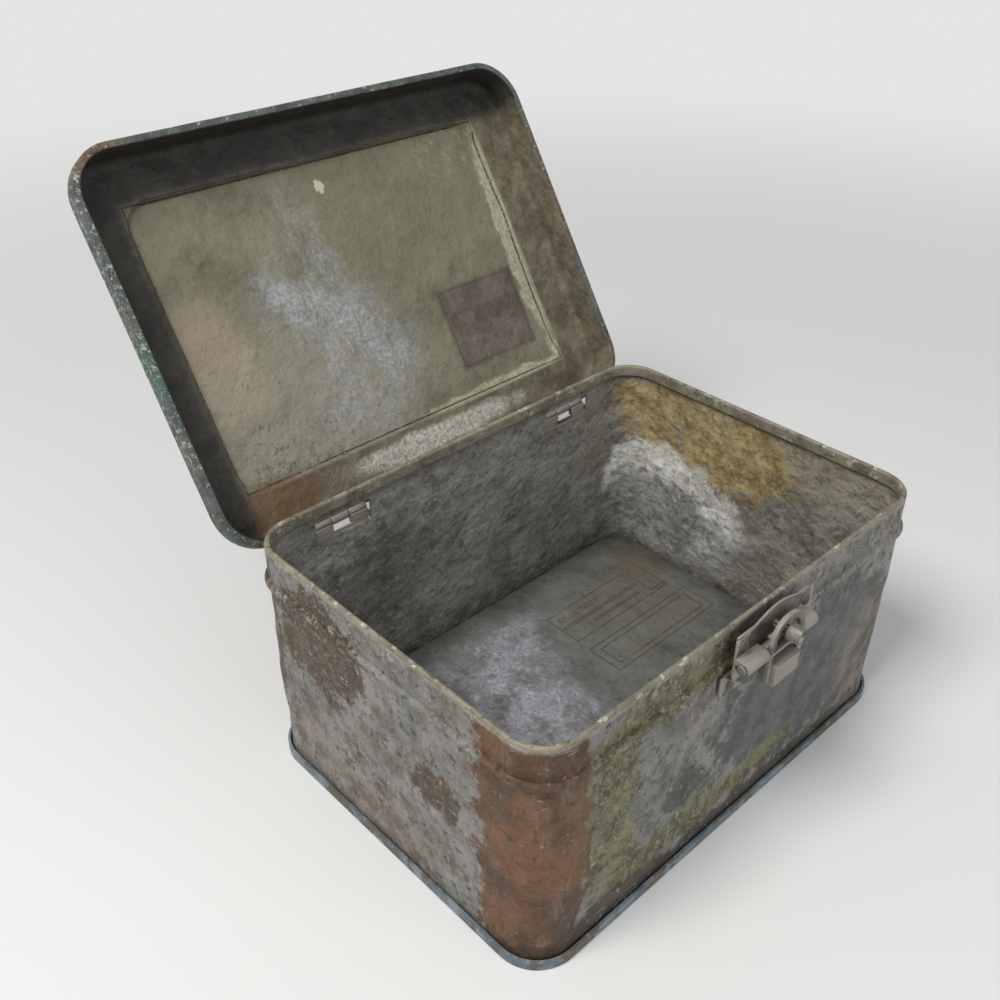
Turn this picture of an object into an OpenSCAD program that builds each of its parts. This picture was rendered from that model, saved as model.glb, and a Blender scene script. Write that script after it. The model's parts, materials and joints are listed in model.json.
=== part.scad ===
// Old painted tinplate box with a hinged slip-over lid and a rocker clasp.
// The underside lies on z = 0, the box is centred on x = 0, y = 0, the clasp looks
// along -y and the hinges stand on the +y wall. The lid is drawn standing open.

/* [Body] */
// Length of the body over its long walls
body_l = 200; // [120:1:320]
// Width of the body, front wall to back wall
body_w = 145; // [90:1:220]
// Height of the rim above the table
body_h = 99.5; // [70:0.5:180]
// Outside radius of the upright corners
corner_r = 15; // [8:0.5:30]
// Thickness of the tinplate wall
wall_t = 0.8; // [0.5:0.1:1.2]
// Width of the folded hem at the rim
hem_w = 2; // [1.8:0.1:2.6]
// Depth of the folded hem inside the rim
hem_d = 5; // [3:0.5:8]
// Radius of the wire that stiffens the hem
hem_wire_r = 0.25; // [0.15:0.05:0.3]
// How far the bead under the lid stands out of the wall
bead_out = 1.5; // [0.8:0.1:1.8]
// Radius of the bead's round section
bead_r = 1.8; // [1.8:0.1:2.2]

/* [Base] */
// Thickness of the base pan
pan_t = 0.8; // [0.6:0.1:1.5]
// Height of the upturned base flange
pan_flange_h = 4; // [3:0.5:7]
// Thickness of the base flange
pan_flange_t = 1; // [0.6:0.1:1.5]
// Open gap between the base flange and the wall
pan_gap = 0.7; // [0.3:0.1:1.2]
// Height of the inner floor's top face
floor_top = 5; // [3:0.5:12]
// Thickness of the inner floor sheet
floor_t = 0.8; // [0.5:0.1:1.5]
// Gap between the inner floor and the wall
floor_gap = 0.3; // [0.2:0.1:1]

/* [Lid] */
// How far the closed lid reaches down over the neck
lid_overlap = 13.3; // [11:0.1:20]
// Gap between the neck and the lid skirt
lid_gap = 0.5; // [0.4:0.1:1]
// Thickness of the lid sheet
lid_t = 0.7; // [0.5:0.1:1]
// Gap between the rim and the closed lid's top
lid_top_gap = 1.3; // [1.2:0.1:3]
// How far the rolled rim band stands out of the skirt
lid_band_out = 2.2; // [1.8:0.1:2.4]
// Height of the rolled rim band
lid_band_h = 7; // [6:0.5:7]
// Radius of the wire in the rim band
lid_wire_r = 0.6; // [0.3:0.05:0.65]
// Radius of the lid's rounded shoulder
lid_shoulder_r = 4; // [3:0.5:5]
// Width of the flat ledge round the raised panel
ledge_w = 11.5; // [9:0.5:20]
// Height of the raised panel above the ledge
panel_up = 1.8; // [0.8:0.1:3]
// Slope width of the raised panel's edge
panel_slope = 1.6; // [1:0.1:3]
// Corner radius of the raised panel
panel_r = 13; // [6:0.5:20]
// Angle through which the lid stands open
lid_open = 123; // [60:1:123]

/* [Hinges] */
// Distance of each hinge's middle from the end of the box
hinge_inset = 40; // [30:1:45]
// Length of a hinge barrel
hinge_l = 24; // [18:1:40]
// Outside radius of the hinge barrel
hinge_r = 2.2; // [2:0.1:2.6]
// Radius of the hinge pin
hinge_pin_r = 1.2; // [0.8:0.05:1.3]
// Thickness of a hinge leaf
leaf_t = 0.75; // [0.5:0.05:1]
// Running clearance round a pin
pin_play = 0.06; // [0.02:0.01:0.1]
// Gap between two knuckles
knuckle_gap = 0.3; // [0.2:0.05:0.6]
// Height of the body's hinge leaf below its knuckles
leaf_drop = 13; // [10:0.5:20]

/* [Clasp] */
// Width of the clasp plates
clasp_w = 41; // [38:1:60]
// Thickness of each clasp plate
plate_t = 0.8; // [0.6:0.1:1.2]
// Gap between the closed lid and the clasp bracket
lid_pass = 0.5; // [0.4:0.1:1.2]
// Radius of the clasp's hinge barrel
barrel_r = 2.6; // [2.2:0.1:3]
// Radius of the clasp pin
clasp_pin_r = 1.1; // [0.8:0.1:1.4]
// Angle through which the rocker lifts
rocker_lift = 15; // [8:1:15]
// Thickness of the rocker strap
rocker_t = 1.6; // [1:0.1:2]
// Inside radius of the rocker's arch
arch_r = 6.6; // [5.8:0.1:7]
// Width of a rocker leg
leg_w = 2.4; // [1.6:0.1:3]
// Radius of the bolt knob
knob_r = 3; // [2.4:0.1:3.2]
// Length of the bolt knob
knob_l = 5.6; // [4:0.1:8]
// Radius of the bolt behind the knob
bolt_r = 1.6; // [1.2:0.1:1.8]
// Depth of the thumb block
block_d = 6.4; // [5:0.1:9]
// Height of the thumb block
block_h = 8.4; // [6:0.1:10]
// Radius of the rivet heads on the clasp
rivet_r = 2.3; // [1.6:0.1:2.6]
// How far the rocker's legs reach below its pin
leg_drop = 11.9; // [9:0.1:14]
// How far the thumb block hangs below the clasp pin
block_drop = 6; // [5.2:0.1:7]
// Height of the lower plate at its ends
lower_h = 8; // [6.5:0.1:12]
// How far the ogee edge of the shield plate rises in the middle
shield_hump = 4.4; // [2:0.1:5]
// How far the ogee edge of the lower plate falls in the middle
lower_hump = 4.2; // [2:0.1:6]
// Height of the bolt above the clasp pin
arm_h = 5.7; // [5.4:0.1:6.5]

/* [Hidden] */
$fn = 64;

// A hair that keeps cuts from sharing a face with what they cut
eps = 0.05;
tin = "#6f6a5e";
steel = "#8b8577";

front_y = -body_w / 2;
back_y = body_w / 2;
seat_gap = 0.35;

// The closed lid, from its lower edge to the top of the raised panel
lid_z0 = body_h - lid_overlap;
lid_in = lid_gap;
lid_out = lid_gap + lid_t;
band_out = lid_out + lid_band_out;
band_top = lid_z0 + lid_band_h;
lid_ceiling = body_h + lid_top_gap;
ledge_z = lid_ceiling + lid_t;
bead_half = sqrt(bead_r * bead_r - (bead_r - bead_out) * (bead_r - bead_out));
bead_z = lid_z0 - seat_gap - bead_half;

// The hinge line lies just outside the back wall, low enough for the skirt to swing clear
hinge_y = back_y + lid_out + hinge_r;
hinge_z = lid_z0 + 0.6;
hinge_x = body_l / 2 - hinge_inset;
knuckle_l = (hinge_l - 2 * knuckle_gap) / 3;
slot_low = hinge_z - hinge_r - 2.4;
slot_high = hinge_z + hinge_r + 2.2;
slot_side = 0.6;
leaf_low = hinge_z - hinge_r - leaf_drop;
lid_leaf_top = ledge_z - lid_shoulder_r - 0.4;
hinge_rivet_r = 1.5;
hinge_rivet_x = hinge_l / 3;
shank_r = 0.9;

// Depths in front of the front wall
foot_d = plate_t;
lower_d = foot_d + plate_t;
riser_back = band_out + lid_pass;
riser_front = riser_back + plate_t;
shield_front = riser_front + plate_t;
pivot_d = shield_front + barrel_r + 0.2;
shelf_top = bead_z - bead_half - 0.6;
shelf_low = shelf_top - plate_t;

// Heights on the clasp: the bolt passes just over the closed lid's rim band
bolt_z = band_top + 0.3 + bolt_r;
pivot_z = bolt_z - arm_h;
bolt_travel = arm_h * rocker_lift * PI / 180;
bolt_tip = riser_back - 0.15;
centre_half = arch_r + leg_w;
left_end = -clasp_w / 2;
right_end = clasp_w / 2 - 3;
strap_back = pivot_d + 0.9;
strap_front = strap_back + rocker_t;
arch_z = pivot_z + 3.3;
leg_low = pivot_z - leg_drop;
block_top = pivot_z - block_drop;
block_low = block_top - block_h;
block_back = shield_front + 0.4;
cap_t = 0.8;
cap_lip = 0.4;
shield_low = shelf_top + 2;
shield_rise = body_h - 0.8;
upper_rivet = [clasp_w / 2 - 4, bolt_z + 0.4];
lower_rivet = [clasp_w / 2 - 5, shelf_low - 4.6];
lower_low = shelf_low - lower_h;
head_h = 1.2;
drive_r = 0.6;
drive_d = strap_back - 0.3 - drive_r;

// Rounded rectangle that grows by u on every side
module outline(u) {
    l = body_l + 2 * u;
    w = body_w + 2 * u;
    r = corner_r + u;
    square([l - 2 * r, w], center = true);
    square([l, w - 2 * r], center = true);
    for (sx = [-1, 1], sy = [-1, 1])
        translate([sx * (l / 2 - r), sy * (w / 2 - r)]) circle(r);
}

// Rounded rectangle with its own size and radius
module rounded(l, w, r) {
    square([l - 2 * r, w], center = true);
    square([l, w - 2 * r], center = true);
    for (sx = [-1, 1], sy = [-1, 1])
        translate([sx * (l / 2 - r), sy * (w / 2 - r)]) circle(r);
}

// Upright band between two outlines
module band(u_in, u_out, low, high) {
    translate([0, 0, low]) linear_extrude(height = high - low) difference() {
        outline(u_out);
        outline(u_in);
    }
}

// Carries a section round the box: x is the distance outside the wall, y the height
module around() {
    run_l = body_l - 2 * corner_r;
    run_w = body_w - 2 * corner_r;
    for (turn = [0, 180]) rotate([0, 0, turn]) {
        translate([body_l / 2, 0, 0]) rotate([90, 0, 0])
            linear_extrude(height = run_w, center = true) children();
        rotate([0, 0, 90]) translate([body_w / 2, 0, 0]) rotate([90, 0, 0])
            linear_extrude(height = run_l, center = true) children();
        translate([run_l / 2, run_w / 2, 0])
            rotate_extrude(angle = 90) translate([corner_r, 0]) children();
        translate([-run_l / 2, run_w / 2, 0]) rotate([0, 0, 90])
            rotate_extrude(angle = 90) translate([corner_r, 0]) children();
    }
}

// Box between two corners given as x, depth in front of the front wall, and z
module front_box(x0, x1, d0, d1, z0, z1) {
    translate([x0, front_y - d1, z0]) cube([x1 - x0, d1 - d0, z1 - z0]);
}

// Round bar along x, in front of the front wall
module front_bar(x0, x1, d, z, r) {
    translate([x0, front_y - d, z]) rotate([0, 90, 0]) cylinder(h = x1 - x0, r = r);
}

// Flat plate standing on the front wall, drawn as x and z
module front_plate(d0, d1) {
    translate([0, front_y - d0, 0]) rotate([90, 0, 0]) linear_extrude(height = d1 - d0) children();
}

// Rivet along +z: a domed head on z = 0, a shank below it and a flat tail
module rivet(r, h, grip, tail) {
    ball = (r * r + h * h) / (2 * h);
    intersection() {
        translate([0, 0, h - ball]) sphere(ball);
        cylinder(h = h + 1, r = r);
    }
    translate([0, 0, -grip - eps]) cylinder(h = grip + 2 * eps, r = shank_r);
    translate([0, 0, -grip - tail]) cylinder(h = tail, r = r * 0.7);
}

// Puts the lid's pieces from the closed place to the open one
module opened() {
    translate([0, hinge_y, hinge_z]) rotate([-lid_open, 0, 0])
        translate([0, -hinge_y, -hinge_z]) children();
}

// Round bar along x on the hinge line
module hinge_bar(x0, x1, r) {
    translate([x0, hinge_y, hinge_z]) rotate([0, 90, 0]) cylinder(h = x1 - x0, r = r);
}

// Points on an arc about (x, y)
function arc(x, y, r, from, to, steps) = [
    for (i = [0 : steps]) let (a = from + (to - from) * i / steps) [x + r * cos(a), y + r * sin(a)]
];

// Ogee curve that rises in the middle: half height at each quarter
function ogee(width, rise, steps) = [
    for (i = [0 : steps]) let (t = i / steps)
        [width * (t - 0.5), rise * (1 - cos(360 * t)) / 2]
];

// Section of the wall, from the base up over the bead to the folded hem
function wall_section() = let (
        fold = hem_w / 2,
        bead_u = bead_out - bead_r,
        turn = asin(bead_half / bead_r),
        groove_r = bead_r - wall_t,
        groove = acos(max(-1, (-wall_t - bead_u) / groove_r))
    ) concat(
        [[0, pan_t]],
        arc(bead_u, bead_z, bead_r, -turn, turn, 8),
        arc(-fold, body_h - fold, fold, 0, 180, 8),
        [[-hem_w, body_h - hem_d], [-hem_w * 3 / 4, body_h - hem_d],
         [-hem_w * 3 / 4, body_h - fold + 0.25], [-wall_t, body_h - fold + 0.25]],
        arc(bead_u, bead_z, groove_r, groove, -groove, 8),
        [[-wall_t, pan_t]]
    );

module body_shell() color(tin) difference() {
    around() polygon(wall_section());
    for (side = [-1, 1]) {
        translate([side * hinge_x - hinge_l / 2 - slot_side, back_y - hem_w - 1, slot_low])
            cube([hinge_l + 2 * slot_side, hem_w + bead_out + 2, slot_high - slot_low]);
        for (step = [-1, 1])
            translate([side * hinge_x + step * hinge_rivet_x, back_y + 1, leaf_low + 4])
                rotate([90, 0, 0]) cylinder(h = 4, r = shank_r + pin_play);
        translate([side * lower_rivet[0], front_y + 3, lower_rivet[1]])
            rotate([90, 0, 0]) cylinder(h = 5, r = shank_r + pin_play);
    }
}

module rim_wire() color(steel)
    around() translate([-(wall_t + hem_w * 3 / 4) / 2, body_h - hem_w / 2 - 0.2])
        circle(hem_wire_r, $fn = 24);

module base_pan() color(tin) {
    linear_extrude(height = pan_t) outline(pan_gap + pan_flange_t);
    band(pan_gap, pan_gap + pan_flange_t, pan_t, pan_flange_h);
}

module inner_floor() color(tin) {
    edge = wall_t + floor_gap;
    translate([0, 0, floor_top - floor_t]) linear_extrude(height = floor_t) outline(-edge);
    band(-edge - floor_t, -edge, pan_t, floor_top - floor_t);
}

// Hinge leaf on the back wall with the two outer knuckles
module body_leaf(side) color(steel) translate([side * hinge_x, 0, 0]) difference() {
    union() {
        translate([-hinge_l / 2, back_y, leaf_low])
            cube([hinge_l, leaf_t, slot_low - leaf_low + 1.2]);
        for (end = [-1, 1]) translate([end * (hinge_l - knuckle_l) / 2 - knuckle_l / 2, 0, 0]) {
            hinge_bar(0, knuckle_l, hinge_r);
            translate([0, back_y, slot_low]) cube([knuckle_l, leaf_t, 2]);
            translate([0, back_y, slot_low + 1.2])
                cube([knuckle_l, hinge_y - hinge_r + leaf_t - back_y, hinge_z - slot_low - 1.2]);
        }
    }
    hinge_bar(-hinge_l, hinge_l, hinge_pin_r + pin_play);
    for (step = [-1, 1])
        translate([step * hinge_rivet_x, back_y + 2, leaf_low + 4])
            rotate([90, 0, 0]) cylinder(h = 4, r = shank_r + pin_play);
}

module hinge_leaf_left() body_leaf(-1);
module hinge_leaf_right() body_leaf(1);

// Hinge pin with a low head at each end
module hinge_pin(side) color(steel) translate([side * hinge_x, 0, 0]) {
    hinge_bar(-hinge_l / 2 - 0.1, hinge_l / 2 + 0.1, hinge_pin_r);
    for (end = [-1, 1]) hinge_bar(end * (hinge_l / 2 + 0.35) - 0.25,
                                  end * (hinge_l / 2 + 0.35) + 0.25, hinge_r - 0.5);
}

module hinge_pin_left() hinge_pin(-1);
module hinge_pin_right() hinge_pin(1);

module hinge_rivets() color(steel)
    for (side = [-1, 1], step = [-1, 1])
        translate([side * hinge_x + step * hinge_rivet_x, back_y + leaf_t, leaf_low + 4])
            rotate([-90, 0, 0]) rivet(hinge_rivet_r, 0.7, leaf_t + wall_t, 0.4);

// Section of the lid skirt with its rolled rim band and rounded shoulder
module lid_section() {
    straight_top = ledge_z - lid_shoulder_r;
    translate([lid_in, lid_z0]) square([lid_t, straight_top - lid_z0]);
    translate([lid_in, lid_z0]) square([band_out - lid_in, lid_t]);
    translate([band_out - lid_t, lid_z0]) square([lid_t, lid_band_h]);
    translate([lid_out + 0.35, band_top - lid_t]) square([band_out - lid_out - 0.35, lid_t]);
    intersection() {
        translate([lid_out - lid_shoulder_r, straight_top]) difference() {
            circle(lid_shoulder_r);
            circle(lid_shoulder_r - lid_t);
        }
        translate([lid_out - lid_shoulder_r, straight_top])
            square([lid_shoulder_r, lid_shoulder_r]);
    }
}

// Raised panel as a sloped block, grown by g and lifted to its ledge
module panel_block(g, low, up) {
    l = body_l + 2 * lid_out - 2 * (lid_shoulder_r + ledge_w) + 2 * g;
    w = body_w + 2 * lid_out - 2 * (lid_shoulder_r + ledge_w) + 2 * g;
    translate([0, 0, low]) hull() {
        linear_extrude(height = 0.01) rounded(l, w, panel_r + g, $fn = 48);
        translate([0, 0, up - 0.01]) linear_extrude(height = 0.01)
            rounded(l - 2 * panel_slope, w - 2 * panel_slope, panel_r + g - panel_slope, $fn = 48);
    }
}

module lid_shell() color(tin) opened() difference() {
    union() {
        around() lid_section();
        translate([0, 0, lid_ceiling]) linear_extrude(height = lid_t)
            outline(lid_out - lid_shoulder_r + eps);
        panel_block(0, ledge_z - eps, panel_up);
    }
    panel_block(-lid_t, lid_ceiling - eps, panel_up + eps);
    for (side = [-1, 1]) translate([side * hinge_x, 0, 0]) {
        translate([-hinge_l / 2 - slot_side, back_y + lid_out, lid_z0 - 1])
            cube([hinge_l + 2 * slot_side, lid_band_out + 1, lid_band_h + 2]);
        translate([-hinge_l / 2 - slot_side, back_y, lid_z0 - 1])
            cube([hinge_l + 2 * slot_side, lid_out + 1, hinge_z + hinge_r + 0.6 - lid_z0 + 1]);
        for (step = [-1, 1])
            translate([step * hinge_rivet_x, back_y + lid_out + 1, lid_leaf_top - 2])
                rotate([90, 0, 0]) cylinder(h = 3, r = shank_r + pin_play);
    }
}

module lid_rim_wire() color(steel) opened() difference() {
    around() translate([(lid_out + band_out - lid_t) / 2, lid_z0 + lid_t + lid_wire_r + 0.1])
        circle(lid_wire_r, $fn = 24);
    for (side = [-1, 1])
        translate([side * hinge_x - hinge_l / 2 - slot_side - 1, back_y, lid_z0])
            cube([hinge_l + 2 * slot_side + 2, lid_band_out + 4, lid_band_h]);
}

// Hinge leaf on the lid's back skirt with the middle knuckle
module lid_leaf(side) color(steel) opened() translate([side * hinge_x, 0, 0]) difference() {
    leaf_y = back_y + lid_out;
    wide_low = hinge_z + hinge_r + 1;
    union() {
        hinge_bar(-knuckle_l / 2, knuckle_l / 2, hinge_r);
        translate([-knuckle_l / 2, leaf_y, hinge_z]) cube([knuckle_l, leaf_t, wide_low - hinge_z + 1]);
        translate([-hinge_l / 2, leaf_y, wide_low]) cube([hinge_l, leaf_t, lid_leaf_top - wide_low]);
    }
    hinge_bar(-hinge_l, hinge_l, hinge_pin_r + pin_play);
    for (step = [-1, 1])
        translate([step * hinge_rivet_x, leaf_y + 2, lid_leaf_top - 2])
            rotate([90, 0, 0]) cylinder(h = 4, r = shank_r + pin_play);
}

module lid_leaf_left() lid_leaf(-1);
module lid_leaf_right() lid_leaf(1);

module lid_rivets() color(steel) opened()
    for (side = [-1, 1], step = [-1, 1])
        translate([side * hinge_x + step * hinge_rivet_x, back_y + lid_out + leaf_t, lid_leaf_top - 2])
            rotate([-90, 0, 0]) rivet(hinge_rivet_r, 0.7, leaf_t + lid_t, 0.25);

// Bent strap that stands off the neck, so that the closing lid passes behind it
module clasp_bracket() color(steel) difference() {
    half = clasp_w / 2 - 1.5;
    union() {
        front_box(-half, half, 0, foot_d, lower_low + 1, shelf_top);
        front_box(-half, half, 0, riser_front, shelf_low, shelf_top);
        front_box(-half, half, riser_back, riser_front, shelf_low, body_h - 0.5);
    }
    for (side = [-1, 1]) {
        rivet_hole(side * lower_rivet[0], lower_rivet[1]);
        rivet_hole(side * upper_rivet[0], upper_rivet[1]);
    }
    bolt_hole();
}

module rivet_hole(x, z) {
    translate([x, front_y + 1, z]) rotate([90, 0, 0])
        cylinder(h = pivot_d + 3, r = shank_r + pin_play);
}

module bolt_hole() {
    translate([0, front_y - 1, bolt_z]) rotate([90, 0, 0])
        cylinder(h = pivot_d, r = bolt_r + pin_play);
}

// Front plate with an ogee top and the two fixed knuckles
module shield_plate() color(steel) difference() {
    union() {
        front_plate(riser_front, shield_front) union() {
            translate([-clasp_w / 2, shield_low])
                square([clasp_w, shield_rise - shield_low]);
            translate([0, shield_rise - eps]) polygon(ogee(clasp_w, shield_hump, 24));
        }
        fixed_knuckle(left_end, -centre_half - knuckle_gap);
        fixed_knuckle(centre_half + knuckle_gap, right_end);
    }
    front_bar(-clasp_w, clasp_w, pivot_d, pivot_z, clasp_pin_r + pin_play);
    for (side = [-1, 1]) rivet_hole(side * upper_rivet[0], upper_rivet[1]);
    bolt_hole();
}

module fixed_knuckle(x0, x1) {
    front_bar(x0, x1, pivot_d, pivot_z, barrel_r);
    front_box(x0, x1, riser_front, pivot_d, pivot_z, pivot_z + barrel_r);
}

// Plate on the wall below the bead with an ogee lower edge
module lower_plate() color(steel) difference() {
    front_plate(foot_d, lower_d) union() {
        translate([-clasp_w / 2, lower_low]) square([clasp_w, shelf_low - lower_low]);
        translate([0, lower_low + eps]) mirror([0, 1]) polygon(ogee(clasp_w, lower_hump, 24));
    }
    for (side = [-1, 1]) rivet_hole(side * lower_rivet[0], lower_rivet[1]);
}

module clasp_rivets() color(steel) {
    for (side = [-1, 1]) {
        translate([side * upper_rivet[0], front_y - shield_front, upper_rivet[1]])
            rotate([90, 0, 0]) rivet(rivet_r, head_h, 2 * plate_t, 0.3);
        translate([side * lower_rivet[0], front_y - lower_d, lower_rivet[1]])
            rotate([90, 0, 0]) rivet(rivet_r, head_h, lower_d + wall_t, 0.4);
    }
}

module clasp_pin() color(steel) {
    front_bar(left_end - 0.1, right_end + 0.1, pivot_d, pivot_z, clasp_pin_r);
    for (x = [left_end - 0.7, right_end + 0.1])
        front_bar(x, x + 0.6, pivot_d, pivot_z, clasp_pin_r + 0.5);
}

// Swinging strap: an arch round the knob, two legs and the middle knuckle
module rocker() color(steel) difference() {
    union() {
        front_plate(strap_back, strap_front) difference() {
            union() {
                translate([0, arch_z]) circle(centre_half);
                translate([-centre_half, leg_low]) square([2 * centre_half, arch_z - leg_low]);
            }
            translate([0, arch_z]) circle(arch_r);
            translate([-arch_r, leg_low - 1]) square([2 * arch_r, arch_z - leg_low + 1]);
        }
        front_bar(-centre_half, centre_half, pivot_d, pivot_z, barrel_r);
    }
    front_bar(-clasp_w, clasp_w, pivot_d, pivot_z, clasp_pin_r + pin_play);
}

// Thumb block between the rocker's legs, with its lower front edge sloped
module thumb_block() color(steel) difference() {
    front_box(-arch_r, arch_r, block_back, block_back + block_d, block_low, block_top);
    translate([0, front_y - block_back - block_d, block_low])
        rotate([45, 0, 0]) cube([3 * arch_r, 1.6, 1.6], center = true);
}

module block_cap() color(steel)
    front_box(-arch_r, arch_r, block_back, block_back + block_d + cap_lip,
              block_top, block_top + cap_t);

// Knob with its bolt, which slides over the closed lid's rim band
module bolt_knob() color(steel) difference() {
    knob_back = strap_front + 0.2;
    translate([0, front_y, bolt_z]) rotate([90, 0, 0]) {
        translate([0, 0, bolt_tip]) cylinder(h = knob_back - bolt_tip + 0.5, r = bolt_r);
        translate([0, 0, knob_back]) cylinder(h = knob_l - 0.6, r = knob_r);
        translate([0, 0, knob_back + knob_l - 0.6])
            cylinder(h = 0.6, r1 = knob_r, r2 = knob_r - 0.6);
    }
    front_bar(-arch_r - leg_w, arch_r + leg_w, drive_d, bolt_z, drive_r + 0.02);
}

// Cross pin behind the rocker's arch, by which the rocker moves the bolt
module drive_pin() color(steel)
    front_bar(-arch_r - leg_w / 2, arch_r + leg_w / 2, drive_d, bolt_z, drive_r);

body_shell();
rim_wire();
base_pan();
inner_floor();
hinge_leaf_left();
hinge_leaf_right();
hinge_pin_left();
hinge_pin_right();
hinge_rivets();
lid_shell();
lid_rim_wire();
lid_leaf_left();
lid_leaf_right();
lid_rivets();
clasp_bracket();
shield_plate();
lower_plate();
clasp_rivets();
clasp_pin();
rocker();
thumb_block();
block_cap();
bolt_knob();
drive_pin();
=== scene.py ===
# %% [markdown]
# # An old painted tin box with a hinged lid
# The box is pressed from thin tinplate: a body with rounded corners, a lid that slips over
# the neck, two small hinges and a clasp on the front. The hard shapes come from the packed
# frame, which is loaded first. This lesson gives them worn paint, rust and stains, and
# builds the large sheets again with the dents that a hundred years leave.

# %% Load the frame
import bpy, bmesh, json, math
from mathutils import Matrix, Vector

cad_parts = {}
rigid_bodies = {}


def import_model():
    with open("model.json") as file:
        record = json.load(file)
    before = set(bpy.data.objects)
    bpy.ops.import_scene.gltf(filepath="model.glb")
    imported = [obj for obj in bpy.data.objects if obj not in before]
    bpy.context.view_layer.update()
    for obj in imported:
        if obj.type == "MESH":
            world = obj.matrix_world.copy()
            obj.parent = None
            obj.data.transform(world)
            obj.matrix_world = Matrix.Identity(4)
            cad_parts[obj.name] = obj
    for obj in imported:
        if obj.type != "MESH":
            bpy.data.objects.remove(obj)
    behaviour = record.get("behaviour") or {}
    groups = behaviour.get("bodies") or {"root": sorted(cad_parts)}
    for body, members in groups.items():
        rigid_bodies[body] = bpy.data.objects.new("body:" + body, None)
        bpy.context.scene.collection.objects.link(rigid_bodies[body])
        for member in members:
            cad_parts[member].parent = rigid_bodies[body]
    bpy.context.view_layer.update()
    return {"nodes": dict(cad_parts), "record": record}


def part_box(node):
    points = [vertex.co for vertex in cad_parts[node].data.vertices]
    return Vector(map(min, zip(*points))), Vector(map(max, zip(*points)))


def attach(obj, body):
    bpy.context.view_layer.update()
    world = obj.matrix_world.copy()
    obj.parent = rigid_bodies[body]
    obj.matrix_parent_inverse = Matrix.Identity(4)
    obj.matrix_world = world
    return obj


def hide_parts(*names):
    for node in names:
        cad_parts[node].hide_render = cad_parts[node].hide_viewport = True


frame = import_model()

nodes = frame["nodes"]
slots = {s["node"]: s["material_slot"] for s in frame["record"]["subparts"]}
scene = bpy.context.scene

# %% [markdown]
# ## The camera
# The eye stands at the left front corner, above the rim, and looks down into the box. A
# camera looks along its own -Z, so its turn is found from the direction it should look in.

# %% Camera
def aimed(way):
    """The turn that points a camera or a lamp along a direction"""
    return Vector(way).to_track_quat("-Z", "Y").to_euler()

eye = bpy.data.cameras.new("eye")
eye.lens = 39.58
eye.sensor_width = 36
eye.clip_start = 0.01
camera = bpy.data.objects.new("eye", eye)
camera.location = (-0.2481, -0.2135, 0.3233)
camera.rotation_euler = aimed((0.568, 0.604, -0.559))
scene.collection.objects.link(camera)
scene.camera = camera
print("camera at", tuple(round(c, 3) for c in camera.location))

# %% [markdown]
# ## Light
# One large lamp stands high on the left, so the left wall, the floor and the right inner
# wall are lit, and the front wall and the lid's upper edge fall into soft shade. A second,
# weaker lamp fills the front. Wide lamps give soft edges to the shadows.

# %% Lamps
LIT = Vector((0, 0, 0.06))  # the place inside the box that both lamps point at

def lamp(name, place, size, power, colour):
    light = bpy.data.lights.new(name, "AREA")
    light.shape = "SQUARE"
    light.size = size
    light.energy = power
    light.color = colour
    holder = bpy.data.objects.new(name, light)
    holder.location = place
    holder.rotation_euler = aimed(LIT - Vector(place))
    scene.collection.objects.link(holder)

lamp("key", (-0.62, 0.02, 1.05), 0.45, 11.0, (1.0, 0.985, 0.96))
lamp("fill", (0.15, -1.3, 0.65), 1.0, 5.0, (0.95, 0.97, 1.0))
print("lamps: key and fill")

# %% [markdown]
# ## World
# The world gives an even grey light from all round. What the camera sees directly, in a
# mirror or through something clear is a pale background instead. The Light Path node
# tells these rays from the rest, so the backdrop can be pale without flooding the box.

# %% Nodes and rays
def add_node(tree, kind, **settings):
    made = tree.nodes.new(kind)
    for key, value in settings.items():
        setattr(made, key, value)
    return made

def larger(tree, first, second):
    made = add_node(tree, "ShaderNodeMath", operation="MAXIMUM")
    tree.links.new(first, made.inputs[0])
    tree.links.new(second, made.inputs[1])
    return made.outputs[0]

def seen_rays(tree):
    """1 for camera, mirror and see-through rays, and 0 for all other light"""
    path = add_node(tree, "ShaderNodeLightPath")
    mirror = larger(tree, path.outputs["Is Camera Ray"], path.outputs["Is Glossy Ray"])
    return larger(tree, mirror, path.outputs["Is Transmission Ray"])

def coloured(tree, kind, colour):
    made = add_node(tree, kind)
    made.inputs["Color"].default_value = colour
    return made.outputs[0]

def mix_shaders(tree, share, below, above, result):
    """Sends one of two shaders, or a mix of them, to the tree's output"""
    mix = add_node(tree, "ShaderNodeMixShader")
    for value, socket in zip((share, below, above), mix.inputs):
        tree.links.new(value, socket)
    tree.links.new(mix.outputs[0], result)

# %% World
PALE = (0.78, 0.78, 0.78, 1)
EVEN_GREY = (0.42, 0.425, 0.44, 1)

world = bpy.data.worlds.new("studio")
scene.world = world
world.use_nodes = True
sky = world.node_tree
sky.nodes.clear()
even = coloured(sky, "ShaderNodeBackground", EVEN_GREY)
pale = coloured(sky, "ShaderNodeBackground", PALE)
sky_output = add_node(sky, "ShaderNodeOutputWorld")
mix_shaders(sky, seen_rays(sky), even, pale, sky_output.inputs["Surface"])
scene.view_settings.view_transform = "Standard"
print("world nodes:", len(sky.nodes))

# %% [markdown]
# ## The studio floor
# The box stands on a wide pale sheet. Far from the box the sheet fades into the backdrop,
# so that no horizon cuts the picture. The fade is for the same seen rays as above, and for
# all other light the sheet stays an ordinary matt floor.

# %% Studio floor
FADE_FROM, FADE_TO = 0.30, 1.10

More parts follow.
